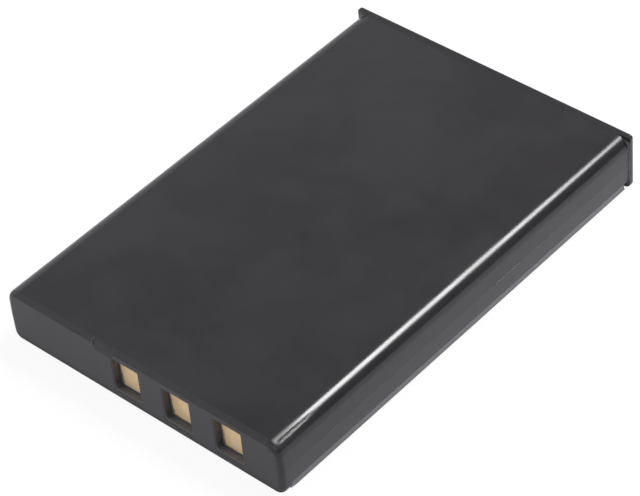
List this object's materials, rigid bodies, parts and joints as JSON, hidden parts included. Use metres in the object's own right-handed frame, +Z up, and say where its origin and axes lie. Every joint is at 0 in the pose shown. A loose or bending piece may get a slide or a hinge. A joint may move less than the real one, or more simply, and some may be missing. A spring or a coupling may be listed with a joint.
{
  "type": "rechargeable battery pack",
  "caption": "Flat black hard-case rechargeable battery pack with an end flange and gold contacts set back in windows of its front wall.",
  "frame": {"origin": "centre of the underside, on the surface that the pack lies on", "axes": "+X across the pack, +Y from the contact end to the flange end, +Z up from the underside to the top face"},
  "size_m": [0.0356, 0.053, 0.0068],
  "materials": {
    "case_plastic": "satin moulded plastic",
    "cover_plastic": "satin moulded plastic",
    "contact_gold": "satin gold plating",
    "board_laminate": "solder mask",
    "chip_moulding": "moulded epoxy",
    "chip_ceramic": "fired ceramic",
    "fuse_body": "moulded plastic",
    "nickel_strip": "rolled nickel",
    "can_aluminium": "drawn aluminium",
    "seal_plastic": "moulded plastic",
    "insulating_card": "pressed card",
    "adhesive_tape": "adhesive film",
    "foam": "closed-cell foam"
  },
  "bodies": {
    "root": {"main_case": "case_plastic", "bottom_cover": "cover_plastic", "contact_positive": "contact_gold", "contact_sense": "contact_gold", "contact_negative": "contact_gold", "protection_board": "board_laminate", "protection_ic": "chip_moulding", "switch_transistor": "chip_moulding", "chip_resistors": "chip_ceramic", "chip_capacitors": "chip_ceramic", "thermistor": "chip_ceramic", "thermal_fuse": "fuse_body", "fuse_link": "nickel_strip", "negative_tab": "nickel_strip", "positive_tab": "nickel_strip", "lithium_cell": "can_aluminium", "terminal_gasket": "seal_plastic", "cell_terminal": "nickel_strip", "can_pad": "nickel_strip", "filling_plug": "can_aluminium", "end_insulator": "insulating_card", "top_tape": "adhesive_tape", "bottom_tape": "adhesive_tape", "rear_foam": "foam"}
  },
  "joints": []
}
